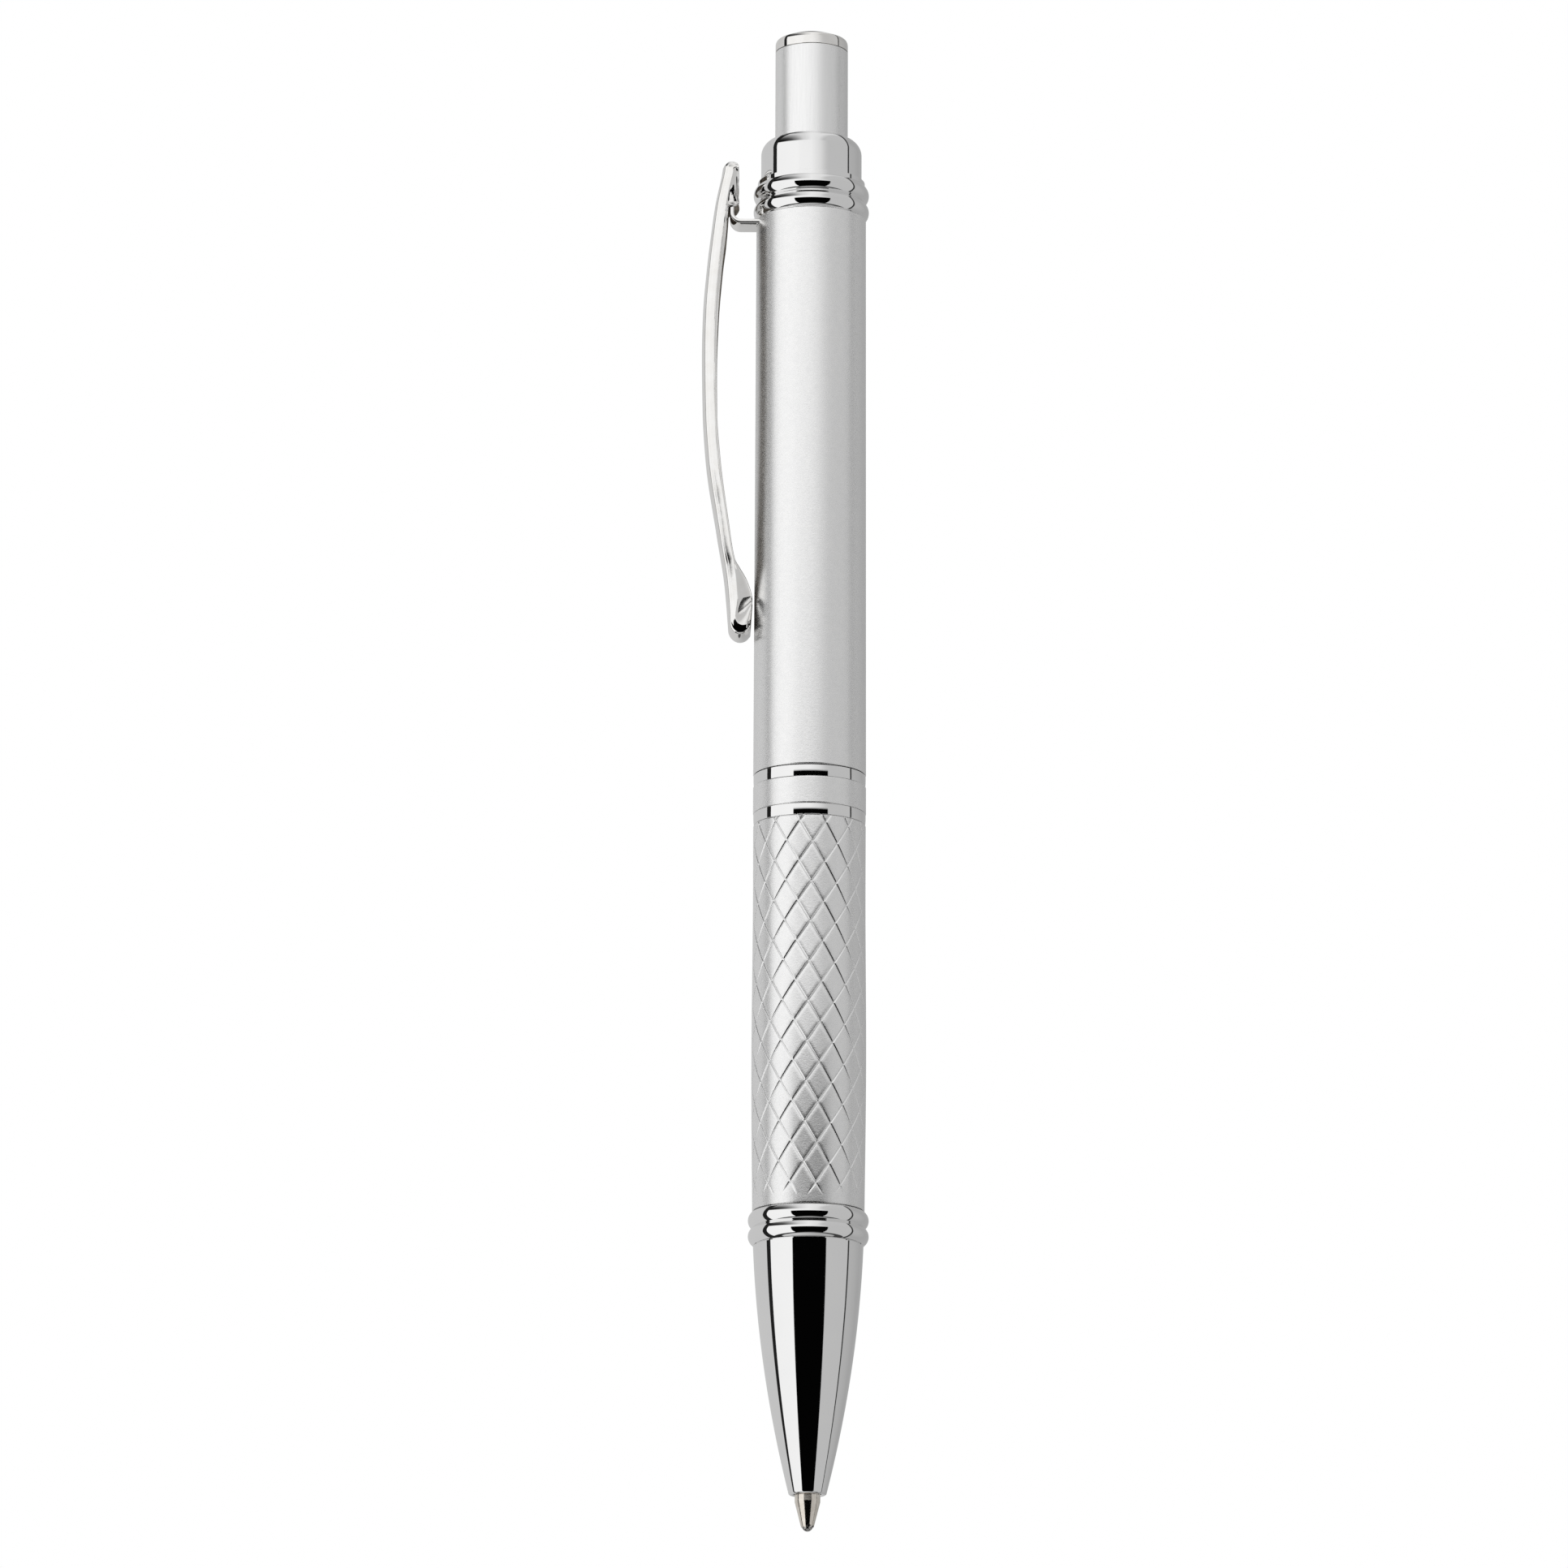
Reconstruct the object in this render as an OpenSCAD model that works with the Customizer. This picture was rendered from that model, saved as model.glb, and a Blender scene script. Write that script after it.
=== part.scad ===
// Retractable ballpoint pen: +Z runs from the writing tip to the push button.
// The origin is the lowest point of the writing ball, and the pocket clip is on -X.
// The button is latched: the writing tip is out.

/* [Overall] */
// Height of the push button's dome above the writing tip
pen_length = 139.65; // [139.25:0.1:140.25]
// Radius of the rear barrel at its lower end
barrel_r_low = 5.12; // [5.1:0.01:5.2]
// Radius of the rear barrel at its upper end
barrel_r_high = 5.04; // [5.0:0.01:5.1]
// Running clearance on the radius between sliding pieces
running = 0.05; // [0.03:0.01:0.08]
// Gap between the front section's shoulder and the rear barrel's lower end
shoulder_gap = 0.05; // [0.03:0.01:0.08]

/* [Front section] */
// Height of the nose cone's open end
nose_z = 3.25; // [3.2:0.05:3.3]
// Outer radius of the nose cone's open end
nose_r_end = 1.72; // [1.65:0.01:1.8]
// Outer radius of the nose cone under its ring
nose_r_top = 4.95; // [4.9:0.01:5]
// Height of the seam between nose cone and nose ring
nose_ring_z = 25.7; // [25.6:0.1:25.9]
// Height of the seam between nose ring and grip tube
grip_z = 28.85; // [28.7:0.05:29]
// Grip radius at its lower end
grip_r_low = 5.03; // [5:0.01:5.06]
// Grip radius at its upper end
grip_r_high = 5.1; // [5.06:0.01:5.12]
// How much the grip swells at its fullest
grip_swell = 0.11; // [0.05:0.01:0.15]

/* [Centre joint] */
// Height of the grip tube's upper end
joint_z = 64.33; // [64.2:0.01:64.5]
// Lower and upper edge of the satin band
band_z = [65.4, 67.87];
// Height of the rear barrel's lower end
barrel_z = 69.0; // [68.9:0.05:69.1]
// How far the two polished rings beside the band curve in towards their lower edge
ring_depth = 0.05; // [0.02:0.01:0.12]

/* [Rear section] */
// Height of the rear barrel's upper end
top_ring_z = 121.5; // [121.4:0.05:121.6]
// Height of the collar's lower edge
collar_z = 125.15; // [125.05:0.05:125.25]
// Height of the collar's upper edge
collar_top_z = 129.2; // [129:0.05:129.4]
// Outer radius of the collar
collar_r = 4.63; // [4.6:0.01:4.7]
// Outer radius of the nose ring's beads
nose_bead_out = 5.42; // [5.36:0.01:5.46]
// Outer radius of the clip ring's beads
top_bead_out = 5.32; // [5.28:0.01:5.4]

/* [Push button] */
// Radius of the button tube
button_r = 3.35; // [3.3:0.01:3.4]
// Height of the lower edge of the button's cap
cap_z = 137.75; // [137.65:0.05:137.85]
// Thickness of the cap's straight rim
cap_rim = 0.95; // [0.8:0.05:1]
// How far the tip and the button rise when the latch lets go
retract_travel = 4.6; // [4.4:0.1:4.8]

/* [Pocket clip] */
// Width of the clip
clip_w = 4.2; // [4.1:0.1:4.4]
// Height of the centre of the clip's rounded lower end
toe_z = 82.75; // [82.65:0.05:82.85]
// Radius of the clip's rounded lower end
toe_r = 1; // [0.9:0.05:1.1]
// Height of the centre of the clip's rounded head
head_z = 126.2; // [126:0.05:126.3]
// Radius of the clip's rounded head
head_r = 0.75; // [0.7:0.05:0.8]
// Width of the bracket's strap
strap_w = 3.1; // [2.8:0.1:3.1]
// Thickness of the bracket's sheet
strap_t = 0.4; // [0.3:0.05:0.5]

/* [Hidden] */
$fn = 96;
e = 0.01;

// refill
ball_r = 0.5;
tip_r = 1.14;
tip_cone_z = 2.62;
tip_rim_z = 0.42;
neck_z = 9.3;
neck_r = 1.6;
neck_plug_r = 2.3;
neck_bore_r = 0.6;
tube_z = 16;
tube_r = 2.95;
tube_inner_r = 2.65;
tube_top_z = 94.5;
plug_z = 98.2;
plug_r = 1.9;
ink_z = [18, 70];

// return spring
spring_z = [9.6, tube_z - 0.02];
spring_r = 2.08;
wire_r = 0.17;
spring_turns = 7;

// front section
mouth_r = 1.28;
mouth_top_z = 6.6;
nose_arch = 0.58;
nose_spigot = 9;
neck_hole_r = neck_r + 0.2;
neck_hole_z = [7.2, 9.45];
spring_bore_z = [9.5, 13.2];
spring_bore_r = 2.45;
tube_bore_r = 3.1;
bead_r = 0.9;
ring_seat_r = 4.93;
nose_bead_z = [26.57, 28.01];
top_bead_z = [122.33, 123.95];
grip_full_z = 42;
grip_swell_reach = 17;
grip_bore_r = 4.3;
cone_spigot_r = 4.28;
core_bore_r = tube_bore_r + 0.1;
band_seat_r = 4.6;
coupler_spigot = 9;
ring_r = barrel_r_low - 0.03;

// rear section
barrel_bore_r = 4.35;
counterbore_r = 4.78;
counterbore_z = 120.88;
thread_r = 3.85;
thread_top_z = 73.2;
bush_z = [barrel_z + 0.1, 75];
spigot_r = 4.3;
spigot_z = 110;
shoulder_r = 1.4;
button_flange_r = 3.75;
button_flange_z = [113.4, 114.4];
button_stop_z = button_flange_z[1] + retract_travel + 0.05;
button_bore_r = 2.85;

// latch
guide_z = [96.5, 109.8];
guide_bore_r = 3.3;
rotor_z = 98.25;
rotor_body_r = 2.2;
spline_z = [99.2, 102.4];
spline_r = 2.85;
rib_z = 102.7;
rib_inner_r = 2.4;
key_count = 4;
key_w = 1.2;
plunger_r = 2.25;
plunger_teeth_z = 104.2;
plunger_key_w = 0.9;
plunger_key_z = [106.5, 109.1];
plunger_plug = 8;
rotor_teeth_z = 103.3;
rotor_tooth_w = 0.44;
rotor_hole_r = 1.2;
rotor_hole_z = 101;

// clip
toe_x = 6.45;
head_x = 7.45;
clip_in = [[5.24, 85.3], [5.5, 86.4], [6.2, 87.8], [6.9, 89.2], [7.85, 94.6], [8.55, 102],
    [8.6, 108.5], [8.25, 115.5], [7.8, 120], [7.65, 122.5], [6.9, 122.6], [6.6, 123.1]];
clip_out = [[8.85, 122.9], [9.5, 117.6], [9.9, 112.4], [10.0, 108.5], [9.85, 102.6],
    [9.3, 96.4], [8.55, 91.6], [7.9, 87.5], [7.62, 84.7]];
sheet_t = 0.45;
cavity_z = [88, 125.9];
strap_z = 120.95;
hook_out = 7.5;
bend_r = 1;
hook_z = 124.4;

module turned(outline) { rotate_extrude() polygon(outline); }

module pipe(r_out, r_in, z0, z1) {
    turned([[r_in, z0], [r_out, z0], [r_out, z1], [r_in, z1]]);
}

module rod(r, z0, z1) { translate([0, 0, z0]) cylinder(r = r, h = z1 - z0); }

// ---- refill ----

module writing_ball() { color("gray") translate([0, 0, ball_r]) sphere(r = ball_r); }

module refill_tip() {
    color("rosybrown") difference() {
        turned([[0, tip_rim_z], [ball_r + 0.07, tip_rim_z], [ball_r + 0.12, tip_rim_z + 0.16],
            [tip_r, tip_cone_z], [tip_r, neck_z], [0, neck_z]]);
        translate([0, 0, ball_r]) sphere(r = ball_r + 0.02);
        rod(0.35, ball_r, neck_z + e);
    }
}

module refill_neck() {
    color("tan") turned([[neck_bore_r, neck_z], [neck_r, neck_z], [neck_r, tube_z + 0.22],
        [neck_plug_r, tube_z + 0.22], [neck_plug_r, tube_z + 1.6], [neck_bore_r, tube_z + 1.6]]);
}

module refill_tube() {
    color("silver") turned([[neck_r + 0.05, tube_z + e], [neck_plug_r, tube_z + e],
        [tube_r, tube_z + 0.7], [tube_r, tube_top_z], [tube_inner_r, tube_top_z],
        [tube_inner_r, tube_z + 1.62], [neck_plug_r + e, tube_z + 1.62],
        [neck_plug_r + e, tube_z + 0.2], [neck_r + 0.05, tube_z + 0.2]]);
}

module ink() { color("black") rod(tube_inner_r - 0.03, ink_z[0], ink_z[1]); }

module refill_plug() {
    fit_r = tube_inner_r - 0.02;
    color("white") turned([[neck_bore_r, tube_top_z - 3], [fit_r, tube_top_z - 3],
        [fit_r, tube_top_z], [plug_r, plug_z], [neck_bore_r, plug_z]]);
}

// A closed coil of round wire; each ring of points is turned across the wire's own direction
module return_spring() {
    sides = 8;
    steps = 16 * spring_turns;
    rise = spring_z[1] - spring_z[0] - 2 * wire_r;
    points = [for (i = [0:steps], k = [0:sides - 1])
        let (turn = 360 * i / 16, around = 360 * k / sides, r = spring_r + wire_r * cos(around))
        [r * cos(turn), r * sin(turn), spring_z[0] + wire_r + rise * i / steps + wire_r * sin(around)]];
    walls = [for (i = [0:steps - 1], k = [0:sides - 1])
        let (a = i * sides + k, b = i * sides + (k + 1) % sides)
        [a, a + sides, b + sides, b]];
    ends = [[for (k = [0:sides - 1]) k], [for (k = [sides - 1:-1:0]) steps * sides + k]];
    color("silver") polyhedron(points, concat(walls, ends), convexity = 10);
}

// ---- front section ----

// Radius of the nose cone's outside, a shallow circular arc between its two ends
function nose_r(t) = nose_r_end + (nose_r_top - nose_r_end) * t + 4 * nose_arch * t * (1 - t);

module nose_cone() {
    reach = nose_ring_z - nose_z;
    side = [for (i = [0:12]) [nose_r(i / 12), nose_z + reach * i / 12]];
    color("silver") turned(concat([[mouth_r, nose_z + 0.15], [nose_r_end - 0.2, nose_z]], side,
        [[cone_spigot_r, nose_ring_z], [cone_spigot_r, nose_ring_z + nose_spigot],
        [tube_bore_r, nose_ring_z + nose_spigot], [tube_bore_r, spring_bore_z[1] + 0.4],
        [spring_bore_r, spring_bore_z[1]], [spring_bore_r, spring_bore_z[0]],
        [neck_hole_r, neck_hole_z[1]], [neck_hole_r, neck_hole_z[0]], [mouth_r, mouth_top_z]]));
}

// A ring with two rounded beads; bead_z lists their heights
module beaded_ring(z0, z1, r_in, r_seat, r_out, bead_z) {
    rotate_extrude() difference() {
        union() {
            translate([r_in, z0]) square([r_seat - r_in, z1 - z0]);
            for (z = bead_z) translate([r_out - bead_r, z]) circle(r = bead_r);
        }
        translate([r_in - 2, z0 - 2]) square([10, 2]);
        translate([r_in - 2, z1]) square([10, 2]);
        translate([0, z0 - 2]) square([r_in, z1 - z0 + 4]);
    }
}

module nose_ring() {
    color("silver") beaded_ring(nose_ring_z + e, grip_z - e, cone_spigot_r + e, ring_seat_r,
        nose_bead_out, nose_bead_z);
}

// Radius of the grip at height z: a gentle taper with one smooth swell
function grip_r(z) = let (t = (z - grip_z) / (joint_z - grip_z),
    off = min(1, abs(z - grip_full_z) / grip_swell_reach))
    grip_r_low + (grip_r_high - grip_r_low) * t + grip_swell * pow(cos(90 * off), 2);

module grip_tube() {
    side = [for (i = [0:16]) let (z = grip_z + (joint_z - grip_z) * i / 16) [grip_r(z), z]];
    color("lightgray") turned(concat(side,
        [[grip_bore_r, joint_z], [grip_bore_r, nose_ring_z + nose_spigot + 0.2], [grip_bore_r, grip_z]]));
}

// ---- centre joint ----

// Half-outline of one polished ring: straight at the top, curved in towards its lower edge
function ring_side(z0, z1) = [for (t = [0:0.2:1])
    [ring_r - ring_depth * pow(1 - t, 4), z0 + (z1 - z0) * t]];

// Core of the joint: pressed into the grip tube below, threaded into the rear barrel above
module joint_coupler() {
    low = joint_z + e;
    high = barrel_z - shoulder_gap;
    foot = joint_z - coupler_spigot;
    color("silver") turned(concat([[core_bore_r, foot], [grip_bore_r - e, foot],
        [grip_bore_r - e, low]], ring_side(low, band_z[0] - e),
        [[band_seat_r, band_z[0] - e], [band_seat_r, band_z[1] + e]], ring_side(band_z[1] + e, high),
        [[thread_r, high], [thread_r, thread_top_z], [core_bore_r, thread_top_z]]));
}

module joint_band() {
    color("lightgray") pipe(barrel_r_low, band_seat_r + e, band_z[0], band_z[1]);
}

// ---- rear section ----

module barrel_bush() {
    color("goldenrod") pipe(barrel_bore_r - e, thread_r + running, bush_z[0], bush_z[1]);
}

module barrel_tube() {
    color("lightgray") difference() {
        turned([[barrel_bore_r, barrel_z], [barrel_r_low, barrel_z], [barrel_r_high, top_ring_z - e],
            [counterbore_r, top_ring_z - e], [counterbore_r, counterbore_z],
            [barrel_bore_r, counterbore_z]]);
        translate([-6, -strap_w / 2 - 0.1, counterbore_z]) cube([3, strap_w + 0.2, 2]);
    }
}

// An outline in the plane of the clip, drawn out over a width centred on the axis
module across(width) {
    translate([0, width / 2, 0]) rotate([90, 0, 0]) linear_extrude(width) children();
}

// Washer under the clip ring, with a strap that passes through the barrel's slot and turns up
module clip_bracket() {
    color("silver") difference() {
        union() {
            rod(counterbore_r - 0.04, strap_z, strap_z + strap_t);
            across(strap_w) {
                translate([bend_r - hook_out, strap_z])
                    square([hook_out - bend_r - spigot_r, strap_t]);
                intersection() {
                    translate([bend_r - hook_out, strap_z + bend_r]) difference() {
                        circle(r = bend_r);
                        circle(r = bend_r - strap_t);
                    }
                    translate([-hook_out, strap_z]) square([bend_r, bend_r]);
                }
                translate([-hook_out, strap_z + bend_r - e])
                    square([strap_t, hook_z - strap_z - bend_r]);
            }
        }
        rod(spigot_r + 0.04, strap_z - 1, strap_z + 1);
    }
}

function arc(x, z, r, from, to) = [for (i = [0:12])
    let (a = from + (to - from) * i / 12) [x + r * cos(a), z + r * sin(a)]];

// Sheet channel, open towards the barrel; its lower end is closed and touches the barrel
module pocket_clip() {
    toe = arc(-toe_x, toe_z, toe_r, 190, 355);
    head = arc(-head_x, head_z, head_r, 0, 160);
    side_in = [for (p = clip_in) [-p[0], p[1]]];
    side_out = [for (p = clip_out) [-p[0], p[1]]];
    roof = [for (p = side_out) if (p[1] > cavity_z[0]) [p[0] + sheet_t, p[1]]];
    color("silver") difference() {
        across(clip_w) polygon(concat(toe, side_in, head, side_out));
        across(clip_w - 2 * sheet_t)
            polygon(concat([[-4, cavity_z[1]], [-7.8, cavity_z[1]]], roof, [[-4, cavity_z[0]]]));
    }
}

module clip_ring() {
    bore_r = spigot_r + 0.03;
    color("silver") union() {
        beaded_ring(top_ring_z, collar_z - e, bore_r, ring_seat_r, top_bead_out, top_bead_z);
        pipe(counterbore_r - 0.05, bore_r, strap_z + strap_t + e, top_ring_z + e);
    }
}

// End cap of the barrel: its spigot guides the button tube and stops the tube's flange
module collar() {
    bore_r = button_r + running;
    shoulder = [for (a = [0:15:90]) [collar_r - shoulder_r * (1 - cos(a)),
        collar_top_z - shoulder_r * (1 - sin(a))]];
    color("silver") turned(concat([[button_flange_r + running, spigot_z], [spigot_r, spigot_z],
        [spigot_r, collar_z], [collar_r, collar_z]], shoulder, [[bore_r, collar_top_z],
        [bore_r, button_stop_z], [button_flange_r + running, button_stop_z]]));
}

// ---- push button ----

module button_tube() {
    color("lightgray") turned([[button_bore_r, button_flange_z[0]], [button_flange_r, button_flange_z[0]],
        [button_flange_r, button_flange_z[1]], [button_r, button_flange_z[1]],
        [button_r, cap_z - e], [button_bore_r, cap_z - e]]);
}

module button_cap() {
    rise = pen_length - cap_z - cap_rim;
    dome_r = (button_r * button_r + rise * rise) / (2 * rise);
    color("silver") union() {
        rod(button_r, cap_z, cap_z + cap_rim);
        intersection() {
            translate([0, 0, pen_length - dome_r]) sphere(r = dome_r);
            rod(button_r, cap_z + cap_rim - e, pen_length + 1);
        }
        rod(button_bore_r - e, cap_z - 5, cap_z + e);
    }
}

module plunger() {
    teeth = 2 * key_count;
    color("white") difference() {
        union() {
            rod(button_bore_r - e, button_flange_z[0] - 0.3, button_flange_z[0] + plunger_plug);
            rod(plunger_r, plunger_teeth_z, button_flange_z[0]);
            for (k = [0:key_count - 1]) rotate(k * 360 / key_count)
                translate([plunger_r - 0.3, -plunger_key_w / 2, plunger_key_z[0]])
                    cube([0.9, plunger_key_w, plunger_key_z[1] - plunger_key_z[0]]);
        }
        for (k = [0:teeth - 1]) rotate((k + 0.5) * 360 / teeth)
            translate([0.9, 0, plunger_teeth_z]) rotate([45, 0, 0]) cube([4, 0.7, 0.7], center = true);
    }
}

// ---- latch ----

module rotor() {
    teeth = 2 * key_count;
    color("white") union() {
        difference() {
            union() {
                rod(rotor_body_r, rotor_z, rotor_teeth_z);
                for (k = [0:key_count - 1]) rotate(k * 360 / key_count)
                    translate([0, -key_w / 2, spline_z[0]])
                        cube([spline_r, key_w, spline_z[1] - spline_z[0]]);
            }
            rod(rotor_hole_r, rotor_z - e, rotor_hole_z);
        }
        for (k = [0:teeth - 1]) rotate((k + 0.5) * 360 / teeth)
            translate([rotor_hole_r, -rotor_tooth_w / 2, rotor_teeth_z - 0.1])
                cube([0.9, rotor_tooth_w, 0.45]);
    }
}

// Sleeve with four keys on its wall; the rotor's splines pass between them
module cam_guide() {
    color("white") union() {
        pipe(barrel_bore_r - 0.02, guide_bore_r, guide_z[0], guide_z[1]);
        for (k = [0:key_count - 1]) rotate((k + 0.5) * 360 / key_count)
            translate([rib_inner_r, -key_w / 2, rib_z])
                cube([guide_bore_r - rib_inner_r + 0.3, key_w, guide_z[1] - rib_z]);
    }
}

writing_ball();
refill_tip();
refill_neck();
refill_tube();
ink();
refill_plug();
return_spring();
nose_cone();
nose_ring();
grip_tube();
joint_coupler();
joint_band();
barrel_bush();
barrel_tube();
clip_bracket();
pocket_clip();
clip_ring();
collar();
button_tube();
button_cap();
plunger();
rotor();
cam_guide();
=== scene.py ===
import math

import bmesh
import bpy
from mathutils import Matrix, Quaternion, Vector


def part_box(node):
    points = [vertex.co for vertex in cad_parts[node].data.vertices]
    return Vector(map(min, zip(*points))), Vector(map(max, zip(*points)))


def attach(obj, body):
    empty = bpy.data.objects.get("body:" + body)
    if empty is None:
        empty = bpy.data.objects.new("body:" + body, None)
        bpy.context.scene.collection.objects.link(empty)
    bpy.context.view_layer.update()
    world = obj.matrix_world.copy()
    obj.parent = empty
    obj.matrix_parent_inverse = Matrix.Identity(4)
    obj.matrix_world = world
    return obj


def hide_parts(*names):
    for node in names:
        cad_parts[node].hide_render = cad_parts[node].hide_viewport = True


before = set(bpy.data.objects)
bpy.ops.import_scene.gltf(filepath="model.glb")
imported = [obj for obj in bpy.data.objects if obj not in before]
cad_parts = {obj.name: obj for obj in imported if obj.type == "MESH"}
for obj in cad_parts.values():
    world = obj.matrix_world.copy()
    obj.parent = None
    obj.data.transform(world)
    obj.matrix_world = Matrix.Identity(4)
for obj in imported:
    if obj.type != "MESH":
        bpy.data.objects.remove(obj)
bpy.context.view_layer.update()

# Lengths below are in millimetres, in the CAD's own frame: +Z from the tip to the button, clip on -X.
MM = 0.001
SEGMENTS = 192


def top(node):
    """Height of a CAD node's upper end."""
    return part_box(node)[1][2] / MM


def bottom(node):
    """Height of a CAD node's lower end."""
    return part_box(node)[0][2] / MM


def radius(node):
    """Largest radius of a turned CAD node."""
    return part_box(node)[1][1] / MM


# ---------------------------------------------------------------- studio

CAMERA_ELEVATION = -13.3
CAMERA_DISTANCE = 771.0
CAMERA_LENS = 195.1
CAMERA_ROLL = 0.21
AIM = (-2.32, 0.0, 68.27)
FLOOR_Z = -0.45
FLOOR_HALF = 30.0
# how far back the front of the room reaches over and under the pen, and how it narrows to the sides
ROOM_REACH = 0.8
ROOM_TAPER = 1.2
# display greys by azimuth from the camera's side, growing towards +X
FRONT_GREYS = ((-180, 0xF7), (-88, 0xFB), (-34, 0xFD), (-24, 0xF9), (0, 0xF7), (20, 0xE3), (34, 0xC8),
               (40, 0xC2), (94, 0xC1), (180, 0xB6))
# display greys of the backdrop and of the dark gap in front of it, from -X to +X
BACK_GREYS = ((-1, 0xCC), (-0.2, 0xCA), (0.2, 0xAC), (0.7, 0xA9), (1, 0xB6))
GAP_GREYS = ((-1, 0x20), (-0.3, 0x26), (0.1, 0x58), (0.3, 0x40), (1, 0x38))
CEILING_GREYS = ((-1, 0x0C), (-0.74, 0x12), (-0.6, 0x50), (-0.44, 0x9C), (-0.27, 0xD7), (0, 0xF3),
                 (0.25, 0xE6), (0.4, 0xC5), (1, 0xC1))
CARD_GREY = 3
CAMERA_GREY = 255
# the dark card, in degrees: its left and right edges, each from clear to full, and its upper one
CARD_LEFT = (-34, -32.5)
CARD_RIGHT = (38.5, 37)
CARD_TOP = (12.3, 8.7)
CEILING_EDGE = (30, 35)
# where the dark gap begins and ends, as the share of a direction that points away from the camera
GAP_START = (0.012, 0.022)
GAP_END = (0.085, 0.095)
# on the left the gap begins earlier and ends later
GAP_EARLIER = 0.09
GAP_LATER = 0.03
# the gap under the pen, by the downward share of a direction
LOW_GAP_START = (-0.79, -0.805)
LOW_GAP_END = (-0.885, -0.9)


def srgb(value):
    """Linear light of a grey given in display steps from 0 to 255."""
    share = value / 255
    return share / 12.92 if share < 0.04045 else ((share + 0.055) / 1.055) ** 2.4


def make_camera():
    data = bpy.data.cameras.new("photo_camera")
    camera = bpy.data.objects.new("photo_camera", data)
    bpy.context.collection.objects.link(camera)
    tilt = math.radians(CAMERA_ELEVATION)
    back = Vector((0, -math.cos(tilt), math.sin(tilt)))
    camera.location = (Vector(AIM) + CAMERA_DISTANCE * back) * MM
    camera.rotation_mode = "QUATERNION"
    straight = (-back).to_track_quat("-Z", "Y")
    roll = Quaternion((0, 0, 1), math.radians(CAMERA_ROLL))
    camera.rotation_quaternion = straight @ roll
    data.sensor_width = 36
    data.lens = CAMERA_LENS
    data.clip_start = 0.01
    data.clip_end = 100
    bpy.context.scene.camera = camera
    bpy.context.scene.view_settings.view_transform = "Standard"


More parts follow.
